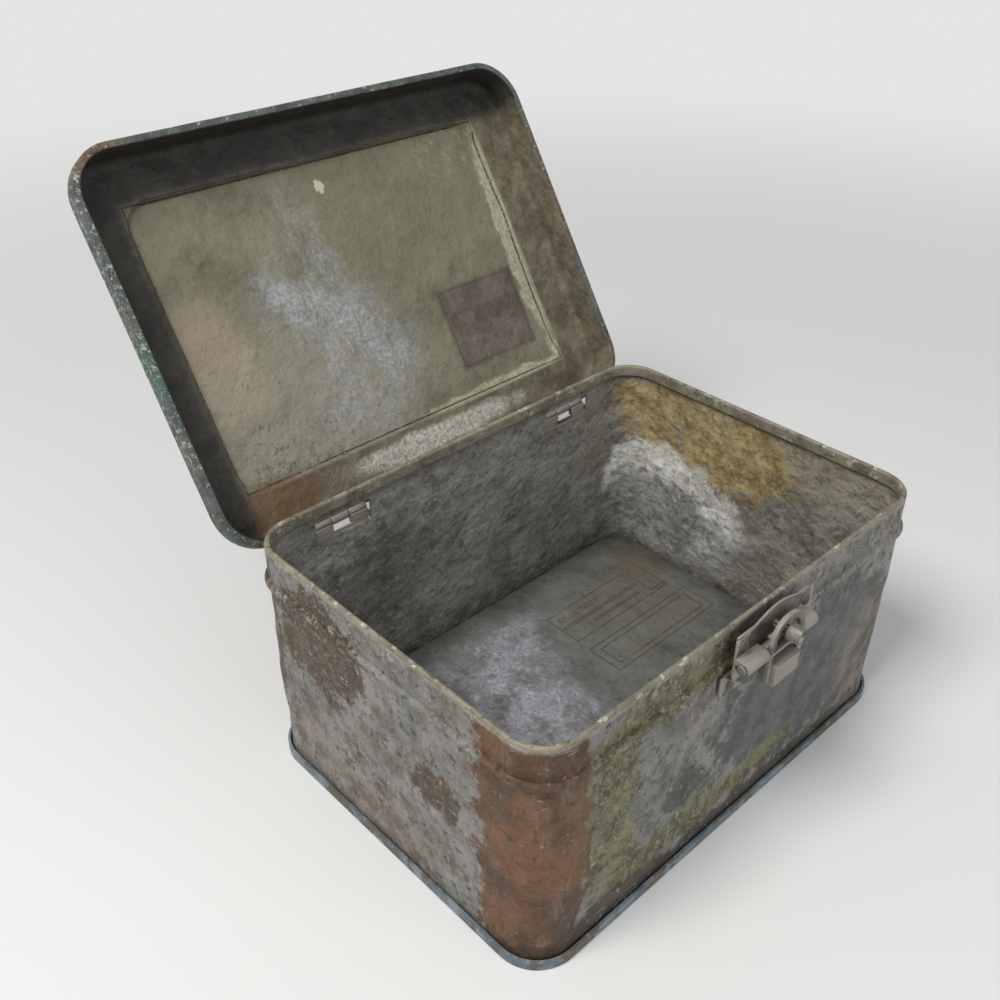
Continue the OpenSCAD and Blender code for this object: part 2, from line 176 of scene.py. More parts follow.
bpy.ops.object.select_all(action="DESELECT")
bpy.ops.mesh.primitive_plane_add(size=12, location=(0, 0, -0.0002))
ground = bpy.context.object
ground.name = "ground"
matte = bpy.data.materials.new("ground_pale")
matte.use_nodes = True
sheet = matte.node_tree
base = sheet.nodes["Principled BSDF"]
base.inputs["Base Color"].default_value = (0.72, 0.72, 0.71, 1)
base.inputs["Roughness"].default_value = 0.9
ground.data.materials.append(matte)
away = add_node(sheet, "ShaderNodeVectorMath", operation="LENGTH")
here = add_node(sheet, "ShaderNodeTexCoord")
sheet.links.new(here.outputs["Object"], away.inputs[0])
fade = add_node(sheet, "ShaderNodeMapRange", interpolation_type="SMOOTHSTEP")
fade.inputs["From Min"].default_value = FADE_FROM
fade.inputs["From Max"].default_value = FADE_TO
sheet.links.new(away.outputs["Value"], fade.inputs["Value"])
seen = add_node(sheet, "ShaderNodeMath", operation="MULTIPLY")
sheet.links.new(fade.outputs["Result"], seen.inputs[0])
sheet.links.new(seen_rays(sheet), seen.inputs[1])
haze = coloured(sheet, "ShaderNodeEmission", PALE)
mix_shaders(sheet, seen.outputs[0], base.outputs[0], haze,
            sheet.nodes["Material Output"].inputs["Surface"])
print("floor:", ground.name)

# %% [markdown]
# ## Small tools for making finishes
# A worn finish is a stack of layers. Each layer is a colour and a mask that says where it
# shows. The masks are made from noise, which gives ragged natural edges, and from the
# place on the object, in millimetres, so that a stain sits where it should. The classes
# below write such node trees, and each adds to the one before: nodes and wires, sums,
# noise and steps, masks by place, and last the layers and the end of a finish.

# %% Colours in the usual 0 to 255
MM = 0.001

def linear(value):
    """The light that a stored colour value stands for"""
    value = value / 255
    return value / 12.92 if value <= 0.04045 else ((value + 0.055) / 1.055) ** 2.4

def paint(red, green, blue):
    return (linear(red), linear(green), linear(blue), 1)

print("mid grey is", round(linear(128), 3))

# %% Nodes and wires
class Tree:
    def __init__(self, name):
        self.material = bpy.data.materials.new(name)
        self.material.use_nodes = True
        self.tree = self.material.node_tree
        self.place = self.add("ShaderNodeTexCoord").outputs["Object"]

    def add(self, kind, **settings):
        return add_node(self.tree, kind, **settings)

    def wire(self, value, socket):
        if isinstance(value, bpy.types.NodeSocket):
            self.tree.links.new(value, socket)
        else:
            socket.default_value = value

    def maths(self, operation, *values):
        made = self.add("ShaderNodeMath", operation=operation)
        for value, socket in zip(values, made.inputs):
            self.wire(value, socket)
        return made.outputs[0]

    def vectors(self, operation, first, second=(0, 0, 0)):
        made = self.add("ShaderNodeVectorMath", operation=operation)
        self.wire(first, made.inputs[0])
        self.wire(second, made.inputs[1])
        return made.outputs[1] if operation == "LENGTH" else made.outputs[0]

    def split(self, vector):
        made = self.add("ShaderNodeSeparateXYZ")
        self.wire(vector, made.inputs[0])
        return made.outputs

# %% Sums
class Sums(Tree):
    def times(self, first, second):
        return self.maths("MULTIPLY", first, second)

    def most(self, first, second):
        return self.maths("MAXIMUM", first, second)

    def plus(self, value, mask, amount):
        """A value, and on top of it some amount of a mask"""
        return self.maths("MULTIPLY_ADD", mask, amount, value)

    def rest_of(self, mask):
        return self.maths("SUBTRACT", 1.0, mask)

# %% Noise and steps
class Noise(Sums):
    def grain(self, size, detail=4.0, rough=0.6, seed=0.0, stretch=None):
        """Noise with grains of about that size, in mm"""
        made = self.add("ShaderNodeTexNoise", noise_dimensions="4D")
        place = self.vectors("MULTIPLY", self.place, stretch) if stretch else self.place
        self.wire(place, made.inputs["Vector"])
        for key, value in (("W", seed), ("Scale", 1 / (size * MM)), ("Detail", detail),
                           ("Roughness", rough)):
            made.inputs[key].default_value = value
        return made.outputs["Fac"]

    def between(self, value, low, high):
        """A smooth step from 0 at the first limit to 1 at the second"""
        made = self.add("ShaderNodeMapRange", interpolation_type="SMOOTHSTEP")
        self.wire(value, made.inputs["Value"])
        made.inputs["From Min"].default_value = low
        made.inputs["From Max"].default_value = high
        return made.outputs["Result"]

# %% Masks by place
ENDLESS = 900  # a half size in mm that reaches past the whole box

class Masks(Noise):
    def spot(self, centre, half, ragged, ragged_by=0.8, soft=0.25):
        """A stain round a place in mm, with half sizes in mm, its edge broken up by noise"""
        away = self.vectors("SUBTRACT", self.place, [c * MM for c in centre])
        scaled = self.vectors("DIVIDE", away, [h * MM for h in half])
        reach = self.plus(self.vectors("LENGTH", scaled), ragged, ragged_by)
        edge = 1 + ragged_by / 2
        return self.between(reach, edge + soft, edge - soft)

    def slab(self, centre, half, soft=0.2):
        """A mask that is 1 inside a box, in mm, with a soft edge in mm"""
        away = self.vectors("SUBTRACT", self.place, [c * MM for c in centre])
        over = self.vectors("SUBTRACT", self.vectors("ABSOLUTE", away), [h * MM for h in half])
        x, y, z = self.split(over)
        return self.between(self.most(self.most(x, y), z), soft * MM, -soft * MM)

    def border(self, centre, half, line):
        """A ruled frame: a box mask less a smaller box mask"""
        inner = [h if h == ENDLESS else h - line for h in half]
        return self.maths("SUBTRACT", self.slab(centre, half, 0.15), self.slab(centre, inner, 0.15))

# %% Layers and the end of a finish
class Finish(Masks):
    def layer(self, mask, below, above):
        made = self.add("ShaderNodeMix", data_type="RGBA")
        self.wire(mask, made.inputs[0])
        self.wire(below, made.inputs[6])
        self.wire(above, made.inputs[7])
        return made.outputs[2]

    def stain(self, below, mask, above, share=None):
        """A layer over the colour so far, thinned to a share of it where one is given"""
        return self.layer(mask if share is None else self.times(mask, share), below, above)

    def end(self, colour, rough, height, depth, metal=0.0):
        """Wires the colour, the roughness and a bump of that depth, in mm, to the shader"""
        shader = self.tree.nodes["Principled BSDF"]
        self.wire(colour, shader.inputs["Base Color"])
        self.wire(rough, shader.inputs["Roughness"])
        self.wire(metal, shader.inputs["Metallic"])
        bump = self.add("ShaderNodeBump")
        bump.inputs["Strength"].default_value = 1.0
        bump.inputs["Distance"].default_value = depth * MM
        self.wire(height, bump.inputs["Height"])
        self.wire(bump.outputs["Normal"], shader.inputs["Normal"])
        print("finish", self.material.name, "nodes:", len(self.tree.nodes))
        return self.material

# %% [markdown]
# ## The outside of the body
# The paint has gone from much of the left wall, which is bare grey tin with dark brown
# rust. The left front corner is rust all the way up. The front keeps an olive printed
# border round a blue-grey field. Each of these is one layer here, in the order in which
# the real one got them: tin, print, rust, and last the pale chips and scratches.

# %% Outside paint of the body: the tin and the big stains
f = Finish("body_outside")
coarse = f.grain(24, 8, 0.66, 1)
middle = f.grain(9, 9, 0.74, 2)
fine = f.grain(1.7, 4, 0.7, 3)
streak = f.grain(5, 6, 0.7, 4, (1.0, 1.0, 0.3))
mottle = f.between(middle, 0.40, 0.60)
colour = f.layer(mottle, paint(98, 95, 87), paint(124, 123, 117))
warm = f.layer(mottle, paint(106, 98, 88), paint(138, 135, 130))
colour = f.stain(colour, f.between(coarse, 0.46, 0.56), warm)
colour = f.stain(colour, f.between(streak, 0.52, 0.62), paint(146, 145, 141), 0.5)
# dark brown patches of the left wall
brown = f.spot((-100, 33, 74), (14, 26, 21), middle, 2.2, 0.08)
brown = f.most(brown, f.spot((-100, -27, 50), (14, 12, 9), middle, 2.4, 0.08))
brown = f.most(brown, f.spot((-100, 66, 62), (14, 8, 34), middle, 2.2, 0.08))
rust_tone = f.layer(f.between(fine, 0.40, 0.58), paint(58, 46, 30), paint(90, 72, 48))
flaked = f.between(f.grain(2.8, 6, 0.8, 12), 0.56, 0.58)
brown = f.times(brown, f.plus(1.0, flaked, -0.8))
colour = f.stain(colour, brown, rust_tone)
# pinkish worn primer low down
pink = f.spot((-100, 30, 14), (14, 55, 24), middle, 2.4, 0.15)
colour = f.stain(colour, pink, f.layer(mottle, paint(98, 84, 74), paint(140, 130, 124)), 0.75)
print("body: tin, brown and primer")

# %% Outside paint of the body: the front's printed border and field
# only the front wall takes the print, so each of its stains is cut to this mask
front = f.slab((0, -74, 50), (400, 3, 60), 1.5)
field = f.layer(mottle, paint(70, 75, 73), paint(92, 95, 91))
shows = f.spot((42, -73, 46), (58, 30, 34), middle, 1.8, 0.12)
calm = f.times(front, shows)
colour = f.stain(colour, calm, field)
olive = f.layer(f.between(middle, 0.42, 0.58), paint(74, 74, 52), paint(115, 113, 80))
olive = f.layer(f.between(fine, 0.54, 0.60), olive, paint(138, 134, 92))
left_border = f.spot((-70, -73, 52), (16, 30, 36), middle, 1.8, 0.1)
top_border = f.spot((-36, -73, 88), (48, 30, 9), middle, 1.8, 0.1)
low_border = f.spot((-24, -73, 19), (58, 30, 7.5), middle, 1.8, 0.1)
shows = f.most(f.most(left_border, top_border), low_border)
colour = f.stain(colour, f.times(front, shows), olive)
grey = f.spot((-42, -73, 46), (18, 30, 16), middle, 2.0, 0.12)
grey = f.times(front, grey)
colour = f.stain(colour, grey, f.layer(mottle, paint(84, 84, 76), paint(130, 128, 118)))
dark = f.spot((-32, -73, 38), (13, 30, 8), middle, 1.8, 0.12)
colour = f.stain(colour, f.times(front, dark), paint(60, 60, 50), 0.8)
stroke = f.slab((-78, -73, 44), (0.9, 30, 10), 0.5)
stroke = f.times(stroke, f.between(fine, 0.38, 0.5))
colour = f.stain(colour, stroke, paint(40, 42, 30), 0.8)
low_dark = f.spot((30, -73, 3), (120, 30, 7), middle, 2.0, 0.12)
colour = f.stain(colour, f.times(front, low_dark), paint(58, 50, 38), 0.85)
rosy = f.spot((84, -73, 30), (24, 30, 34), middle, 2.4, 0.15)
rosy_tone = f.layer(mottle, paint(88, 78, 68), paint(132, 120, 110))
colour = f.stain(colour, f.times(front, rosy), rosy_tone, 0.75)
print("body: print")

# %% Outside paint of the body: rust corner, chips, scratches
corner = f.spot((-104, -76, 45), (25, 31, 220), middle, 1.3, 0.07)
orange = f.layer(f.between(coarse, 0.40, 0.60), paint(74, 51, 30), paint(112, 75, 44))
orange = f.layer(f.between(streak, 0.52, 0.66), orange, paint(112, 92, 74))
colour = f.stain(colour, corner, orange)
low_left = f.spot((-68, -73, 6), (34, 30, 9), middle, 1.6, 0.1)
colour = f.stain(colour, low_left, paint(56, 42, 26), 0.8)
# pale chips, thicker near the rim and the bead, and fewer on rust and on the blue field
up = f.split(f.place)["Z"]
near_top = f.between(up, 0.070, 0.100)
chips = f.plus(f.grain(3.0, 6, 0.78, 7), near_top, 0.03)
chips = f.plus(chips, corner, -0.04)
chips = f.plus(chips, calm, -0.05)
chips = f.between(chips, 0.57, 0.60)
colour = f.stain(colour, chips, paint(162, 160, 152), 0.7)
pits = f.plus(f.grain(3.4, 6, 0.78, 9), calm, -0.05)
pits = f.between(pits, 0.57, 0.59)
colour = f.stain(colour, pits, paint(60, 52, 40), 0.75)
dust = f.between(f.grain(1.1, 4, 0.8, 13), 0.63, 0.67)
colour = f.stain(colour, dust, paint(172, 170, 160), 0.5)
scratch = f.grain(1.0, 2, 0.5, 11, (0.12, 0.12, 1.0))
scratch = f.between(scratch, 0.68, 0.73)
colour = f.stain(colour, scratch, paint(164, 158, 144), 0.55)
bare = f.between(f.plus(up, middle, 0.006), 0.0995, 0.1015)
colour = f.stain(colour, bare, paint(150, 146, 128))
print("body: rust, chips and scratches")

# %% [markdown]
# The paint has crept into folds like those of old leather. The bump needs smooth, broad
# noises of its own, because the fine ones that colour the stains would look like sand.

# %% Outside paint of the body: relief
height = f.grain(13, 3, 0.55, 14, (1.0, 1.0, 0.75))
leather = f.grain(4.5, 2, 0.5, 15, (1.0, 1.0, 0.5))
for mask, amount in ((leather, 0.4), (middle, 0.25), (fine, 0.07), (chips, 0.03), (pits, -0.04)):
    height = f.plus(height, mask, amount)
rough = f.plus(0.62, mottle, -0.16)
rough = f.plus(rough, chips, -0.12)
body_outside = f.end(colour, rough, height, 5.0)

# %% [markdown]
# ## The inside of the body
# The back wall is grey tin with soft dark and pale clouds. The right wall keeps a gold
# lacquer, with a crescent where it was rubbed down to clean tin, painted near-white as a highlight
# of the light on that wall. Bare tin is smoother than lacquer and gets less roughness, so that it
# catches the light.

# %% Inside of the body
f = Finish("body_inside")
coarse = f.grain(18, 8, 0.66, 21)
middle = f.grain(8, 9, 0.72, 22)
fine = f.grain(1.6, 4, 0.7, 23)
clouds = f.between(coarse, 0.42, 0.58)
mottle = f.between(middle, 0.40, 0.60)
colour = f.layer(clouds, paint(108, 105, 97), paint(142, 140, 133))
colour = f.stain(colour, mottle, paint(146, 143, 134), 0.5)
for centre, half in (((9, 72, 54), (9, 30, 20)), ((51, 72, 56), (12, 30, 18)),
                     ((78, 72, 48), (12, 30, 26)), ((-8, 72, 28), (22, 30, 10))):
    smear = f.spot(centre, half, middle, 2.4, 0.12)
    colour = f.stain(colour, smear, paint(150, 147, 138), 0.6)
dark = f.spot((-44, 72, 52), (26, 30, 22), middle, 2.0, 0.2)
colour = f.stain(colour, dark, paint(74, 70, 61), 0.4)
gold = f.spot((99, 28, 78), (14, 50, 23), middle, 1.6, 0.12)
faint = f.spot((99, -34, 86), (14, 40, 13), middle, 2.0, 0.3)
gold = f.most(gold, f.times(faint, 0.4))
lacquer = f.layer(mottle, paint(134, 115, 76), paint(178, 160, 114))
lacquer = f.layer(f.between(coarse, 0.50, 0.60), lacquer, paint(150, 141, 118))
colour = f.stain(colour, gold, lacquer)
print("inside: clouds and lacquer")

# %% Inside of the body: rubbed tin with a painted highlight, specks, dirt low down
# the crescent on the right wall is tin rubbed clean, and its near-white colour is a painted
# highlight where the light falls; the same mask lowers the roughness further down
ring = f.spot((99, 50, 36), (14, 48, 28), middle, 1.2, 0.1)
core = f.spot((99, 56, 27), (14, 36, 20), middle, 1.2, 0.3)
rubbed_tin_and_highlight = f.times(ring, f.rest_of(core))
highlight_tone = f.layer(mottle, paint(196, 194, 186), paint(236, 235, 230))
colour = f.stain(colour, rubbed_tin_and_highlight, highlight_tone)
pool = f.spot((99, 40, 26), (14, 40, 20), middle, 1.6, 0.15)
colour = f.stain(colour, pool, f.layer(mottle, paint(116, 117, 118), paint(168, 168, 170)), 0.65)
up = f.split(f.place)["Z"]
low = f.between(f.plus(up, middle, 0.01), 0.022, 0.006)
colour = f.stain(colour, low, paint(62, 58, 48), 0.6)
specks = f.between(f.grain(2.4, 6, 0.8, 27), 0.565, 0.59)
colour = f.stain(colour, specks, paint(180, 177, 166), 0.5)
pits = f.between(f.grain(3.0, 6, 0.8, 29), 0.565, 0.59)
colour = f.stain(colour, pits, paint(66, 61, 50), 0.42)
seam = f.between(up, 0.0905, 0.0945)
colour = f.stain(colour, seam, paint(70, 64, 52), 0.55)
height = f.grain(14, 3, 0.58, 24)
leather = f.grain(5, 2, 0.5, 25)
for mask, amount in ((leather, 0.4), (middle, 0.25), (fine, 0.06), (pits, -0.03)):
    height = f.plus(height, mask, amount)
rough = f.plus(0.58, rubbed_tin_and_highlight, -0.22)
rough = f.plus(rough, mottle, -0.15)
body_inside = f.end(colour, rough, height, 3.6)

# %% [markdown]
# ## The rim
# Hands and the lid have rubbed the folded rim, so it is pale, dull metal with dark
# scabs where the paint has held.

# %% Rim of the body
f = Finish("rim_metal")
middle = f.grain(14, 8, 0.7, 31)
fine = f.grain(2.4, 6, 0.75, 32)
colour = f.layer(f.between(middle, 0.40, 0.60), paint(112, 106, 90), paint(140, 135, 117))
scab = f.between(fine, 0.57, 0.62)
colour = f.stain(colour, scab, paint(82, 75, 60), 0.5)
shine = f.between(f.grain(5, 6, 0.75, 33), 0.57, 0.60)
colour = f.stain(colour, shine, paint(190, 187, 170), 0.8)
rough = f.plus(0.62, shine, -0.2)
height = f.plus(fine, scab, 0.5)
rim_metal = f.end(colour, rough, height, 0.35, 0.25)

# %% [markdown]
# ## The lid's finishes
# The lid is drawn standing open, but its stains are easier to place on the closed lid,
# where the panel lies flat. A Mapping node turns the open lid's places back round the
# hinge line, and all the lid's masks read those closed places.

# %% Closed places of the lid
HINGE = Vector((0, 0.0759, 0.0868))
OPEN = math.radians(123)

def closed(f):
    """The place that a point of the open lid has when the lid is shut"""
    back = Matrix.Rotation(OPEN, 3, "X")
    turn = f.add("ShaderNodeMapping")
    turn.inputs["Rotation"].default_value = (OPEN, 0, 0)
    turn.inputs["Location"].default_value = HINGE - back @ HINGE
    f.wire(f.place, turn.inputs["Vector"])
    return turn.outputs["Vector"]

print("the lid stands open at", round(math.degrees(OPEN)), "degrees")

# %% Inside of the lid: cream lacquer and its smears
f = Finish("lid_inside")
f.place = closed(f)
coarse = f.grain(26, 8, 0.62, 41)
middle = f.grain(9, 9, 0.72, 42)
fine = f.grain(1.6, 5, 0.72, 43)
clouds = f.between(coarse, 0.40, 0.60)
mottle = f.between(middle, 0.40, 0.60)
colour = f.layer(clouds, paint(92, 91, 70), paint(114, 112, 90))
colour = f.stain(colour, mottle, paint(126, 122, 102), 0.45)
low = f.spot((-48, 38, 100), (46, 34, 40), middle, 2.0, 0.3)
colour = f.stain(colour, low, paint(144, 141, 124), 0.6)
green = f.spot((40, -32, 100), (60, 30, 40), middle, 1.6, 0.4)
colour = f.stain(colour, green, paint(112, 110, 82), 0.5)
rosy = f.spot((-73, 6, 100), (16, 24, 40), middle, 1.8, 0.4)
colour = f.stain(colour, rosy, paint(156, 140, 122), 0.6)
pale = f.layer(f.between(fine, 0.4, 0.6), paint(132, 132, 129), paint(164, 164, 168))
wisps = f.between(f.grain(12, 9, 0.78, 44, (1.0, 0.45, 1.0)), 0.40, 0.60)
for centre, half, share in (((-20, -30, 100), (10, 15, 40), 0.75),
                            ((-32, -8, 100), (13, 13, 40), 1.0),
                            ((-14, 8, 100), (15, 18, 40), 0.95),
                            ((-8, 26, 100), (20, 14, 40), 0.75),
                            ((-18, 38, 100), (26, 12, 40), 0.6)):
    smear = f.spot(centre, half, middle, 3.4, 0.9)
    colour = f.stain(colour, f.times(smear, wisps), pale, share)
print("lid inside: lacquer and smears")

# %% [markdown]
# On the panel sits a pasted patch, and its edge is rubbed pale where goods were pushed
# past it. The ledge round the panel stayed brown. Damp left mould in the low corner.

# %% Inside of the lid: patch, ledge, worn edge
# a pasted square of brown paper with a ruled edge, all of it worn
patch = f.slab((54, 27, 100), (22, 18, 40), 1.0)
torn = f.between(middle, 0.66, 0.60)
patch = f.times(patch, torn)
paper = f.layer(mottle, paint(76, 66, 58), paint(104, 92, 82))
colour = f.stain(colour, patch, paper, 0.85)
rule = f.border((54, 27, 100), (21, 17, ENDLESS), 0.9)
colour = f.stain(colour, rule, paint(58, 50, 44), 0.5)
# the ledge round the panel is browner
panel = f.slab((0, 0, 100), (84.5, 57, 60), 1.5)
on_ledge = f.rest_of(panel)
brown = f.layer(mottle, paint(80, 72, 56), paint(112, 104, 86))
colour = f.stain(colour, on_ledge, brown, 0.9)
right = f.spot((84, 0, 100), (6.5, 50, 40), middle, 2.0, 0.15)
below = f.spot((46, 56.5, 100), (40, 3.4, 40), middle, 2.4, 0.2)
worn = f.times(f.most(right, below), panel)
flecked = f.between(fine, 0.4, 0.6)
colour = f.stain(colour, worn, f.layer(flecked, paint(146, 143, 118), paint(178, 175, 150)), 0.85)
white = f.spot((8, 65, 100), (46, 5, 40), middle, 2.2, 0.3)
colour = f.stain(colour, white, f.layer(flecked, paint(160, 156, 142), paint(204, 201, 190)), 0.9)
print("lid inside: patch and edges")

# %% Inside of the lid: rust, crack, mould and specks
rust = f.spot((-76, 64, 98), (22, 10, 40), middle, 1.0)
colour = f.stain(colour, rust, paint(98, 72, 44), 0.8)
crack = f.border((0, 0, 100), (83.6, 56.2, ENDLESS), 0.5)
colour = f.stain(colour, f.times(crack, f.between(fine, 0.42, 0.5)), paint(50, 46, 34))
mould = f.spot((-66, 46, 100), (16, 12, 40), middle, 1.3)
mould = f.most(mould, f.spot((-42, 50, 100), (18, 9, 40), middle, 1.3))
dots = f.between(f.grain(3.4, 8, 0.82, 47), 0.53, 0.56)
colour = f.stain(colour, f.times(mould, dots), paint(78, 78, 60), 0.7)
specks = f.between(f.grain(2.6, 6, 0.78, 48), 0.595, 0.625)
colour = f.stain(colour, specks, paint(76, 72, 54), 0.6)
flakes = f.spot((62, -48, 100), (16, 16, 40), middle, 1.5)
flakes = f.times(flakes, f.between(f.grain(4, 8, 0.82, 49), 0.54, 0.57))
colour = f.stain(colour, flakes, paint(142, 141, 116), 0.7)
blob = f.spot((-1, -46, 100), (2.0, 2.6, 40), fine, 2.4, 0.2)
colour = f.stain(colour, blob, paint(190, 188, 170))
print("lid inside: mould and specks")

# %% Inside of the lid: soot with painted shadow, and relief
# the lid's front and left walls and the ledge beside them are darkened: mostly painted shadow of
# the front and left skirts, with some soot and old grease where no cloth reached
clear = f.slab((112, 73, 100), (196, 129.5, 60), 3.5)
soot_and_painted_shadow = f.rest_of(clear)
colour = f.stain(colour, soot_and_painted_shadow, f.layer(mottle, paint(16, 15, 12), paint(27, 25, 20)), 0.92)
relief = f.grain(16, 3, 0.55, 45)
height = f.plus(f.plus(relief, fine, 0.12), middle, 0.45)
height = f.plus(height, worn, 0.12)
height = f.plus(height, crack, -0.12)
rough = f.plus(0.66, mottle, -0.15)
lid_inside = f.end(colour, rough, height, 3.4)

# %% [markdown]
# The lid's rolled band and its outside are a dark blue-grey paint. It has flaked to small
# bright chips, with a verdigris stain on the left and rust at the corners.

# %% Print and wear on the lid's outside
def lid_print(f, colour, middle, fine):
    """Two ruled lines of faded print, a rubbed edge round the panel, and scratches"""
    for half, line in (((76, 49, ENDLESS), 1.4), ((72.5, 45.5, ENDLESS), 0.6)):
        ruled = f.border((0, 0, 102), half, line)
        ruled = f.times(ruled, f.between(middle, 0.40, 0.50))
        colour = f.stain(colour, ruled, paint(140, 128, 90), 0.6)
    rubbed = f.border((0, 0, 102), (84.9, 57.4, ENDLESS), 1.0)
    rubbed = f.times(rubbed, f.between(fine, 0.42, 0.58))
    colour = f.stain(colour, rubbed, paint(140, 137, 124), 0.6)
    scratch = f.between(f.grain(1.0, 2, 0.5, 68, (0.1, 1.0, 1.0)), 0.68, 0.73)
    return f.stain(colour, scratch, paint(156, 152, 138), 0.5)

# %% Lid rim and lid outside
def band_finish(name, seed, tones, chip_amount):
    f = Finish(name)
    f.place = closed(f)
    middle = f.grain(9, 9, 0.72, seed)
    coarse = f.grain(26, 8, 0.64, seed + 1)
    fine = f.grain(1.7, 5, 0.74, seed + 2)
    mottle = f.between(middle, 0.40, 0.60)
    colour = f.layer(mottle, tones[0], tones[1])
    bare = f.between(coarse, 0.52, 0.64)
    colour = f.stain(colour, bare, tones[2], 0.7)
    rust_tone = f.layer(f.between(fine, 0.4, 0.6), paint(84, 62, 40), paint(112, 86, 56))
    for centre, half in (((-92, -76, 92), (14, 12, 40)), ((-60, 74, 92), (40, 6, 40)),
                         ((96, 70, 92), (14, 14, 40)), ((98, -20, 90), (8, 34, 40))):
        rust = f.spot(centre, half, middle, 2.2, 0.1)
        colour = f.stain(colour, rust, rust_tone, 0.8)
    green = f.spot((-99, 4, 88), (12, 12, 8), middle, 2.2, 0.15)
    colour = f.stain(colour, green, paint(52, 92, 78), 0.7)
    left = f.slab((-100, -20, 90), (6, 60, 6), 3)
    chips = f.grain(2.4, 6, 0.78, seed + 3)
    chips = f.between(f.plus(chips, left, 0.04), chip_amount, chip_amount + 0.025)
    colour = f.stain(colour, chips, paint(168, 172, 160), 0.85)
    spots = f.between(f.grain(3, 5, 0.7, seed + 4), 0.6, 0.68)
    colour = f.stain(colour, spots, paint(40, 38, 30), 0.7)
    if name == "lid_outside":
        colour = lid_print(f, colour, middle, fine)
    relief = f.grain(13, 3, 0.55, seed + 5)
    height = f.plus(f.plus(relief, middle, 0.4), chips, -0.06)
    height = f.plus(height, fine, 0.15)
    rough = f.plus(0.6, mottle, -0.18)
    return f.end(colour, rough, height, 3.6)

BAND_TONES = (paint(52, 60, 58), paint(78, 87, 85), paint(104, 100, 84))
LID_TONES = (paint(72, 77, 70), paint(90, 92, 82), paint(108, 100, 84))
lid_rim = band_finish("lid_rim", 51, BAND_TONES, 0.565)
lid_outside = band_finish("lid_outside", 61, LID_TONES, 0.58)

# %% [markdown]
# ## The floor inside
# The floor is a dark grey sheet with a soft pale smear of spilt powder on the left, and
# on the right a worn label: two plain ruled frames with a few faded lines.

# %% Floor finish
f = Finish("floor_paint")
coarse = f.grain(20, 8, 0.64, 71)
middle = f.grain(8, 9, 0.72, 72)
fine = f.grain(1.4, 5, 0.72, 73)
mottle = f.between(middle, 0.40, 0.60)
colour = f.layer(f.between(coarse, 0.4, 0.62), paint(78, 79, 74), paint(104, 106, 104))
colour = f.stain(colour, mottle, paint(118, 117, 110), 0.4)
label = f.slab((56, 25, 5), (34, 24, 40), 3.0)
label = f.times(label, f.between(coarse, 0.62, 0.5))
colour = f.stain(colour, label, paint(112, 109, 92), 0.6)
pale = f.layer(f.between(fine, 0.38, 0.62), paint(136, 136, 144), paint(176, 176, 187))
wisps = f.between(f.grain(12, 9, 0.78, 74), 0.38, 0.58)
for centre, half, share in (((-16, 14, 5), (16, 15, 30), 1.0), ((-12, 34, 5), (18, 16, 30), 1.0),
                            ((-34, -4, 5), (28, 22, 30), 0.8), ((0, 48, 5), (22, 12, 30), 0.6)):
    smear = f.spot(centre, half, middle, 3.4, 0.9)
    colour = f.stain(colour, f.times(smear, wisps), pale, share)
print("floor: sheet and powder")

# %% Floor finish: label, specks and relief
faded = f.between(middle, 0.36, 0.46)
# the two frames, the small box in one, and the faded lines: (centre x, y, half x, y) in mm
for x, y, half_x, half_y in ((54.5, 36.5, 30, 10), (56, 11, 32, 9), (80, 36.5, 4.6, 8),
                             (56, 11, 28, 6), (50, 36.5, 24, 0.9), (40, 41.5, 12, 1.1),
                             (54, 31.5, 16, 0.8)):
    ruled = f.border((x, y, 5), (half_x, half_y, ENDLESS), 0.55)
    colour = f.stain(colour, f.times(ruled, faded), paint(46, 46, 38), 0.8)
brown = f.spot((88, 46, 5), (16, 16, 30), middle, 1.2)
colour = f.stain(colour, brown, paint(96, 84, 64), 0.5)
specks = f.between(f.grain(2.4, 6, 0.78, 77), 0.60, 0.63)
colour = f.stain(colour, specks, paint(54, 50, 40), 0.7)
edge = f.rest_of(f.slab((0, 0, 5), (92, 65, 30), 6))
colour = f.stain(colour, edge, paint(58, 55, 46), 0.5)
relief = f.grain(15, 3, 0.55, 78)
height = f.plus(f.plus(relief, fine, 0.08), middle, 0.4)
rough = f.plus(0.68, mottle, -0.15)
floor_paint = f.end(colour, rough, height, 3.6)

# %% [markdown]
# ## Base, clasp and hinges
# The base pan is blue-grey enamel, chipped along its edge. The clasp is nickelled steel,
# gone cream and grey, with grime in its corners. The hinges are the same metal, duller.

# %% Base enamel
f = Finish("base_paint")
middle = f.grain(10, 8, 0.7, 81)
fine = f.grain(2.2, 6, 0.78, 82)
colour = f.layer(f.between(middle, 0.42, 0.58), paint(84, 97, 106), paint(124, 134, 141))
worn = f.between(f.grain(16, 8, 0.66, 83), 0.52, 0.56)
colour = f.stain(colour, worn, paint(92, 78, 62), 0.8)
chips = f.between(fine, 0.58, 0.61)
colour = f.stain(colour, chips, paint(158, 158, 148), 0.8)
height = f.plus(middle, chips, -0.4)
rough = f.plus(0.5, worn, 0.2)
base_paint = f.end(colour, rough, height, 0.4)

# %% [markdown]
# On small stamped parts dirt gathers in the hollows and hands polish the edges. The
# Pointiness of the mesh tells hollows from edges, so both stains find their own places.

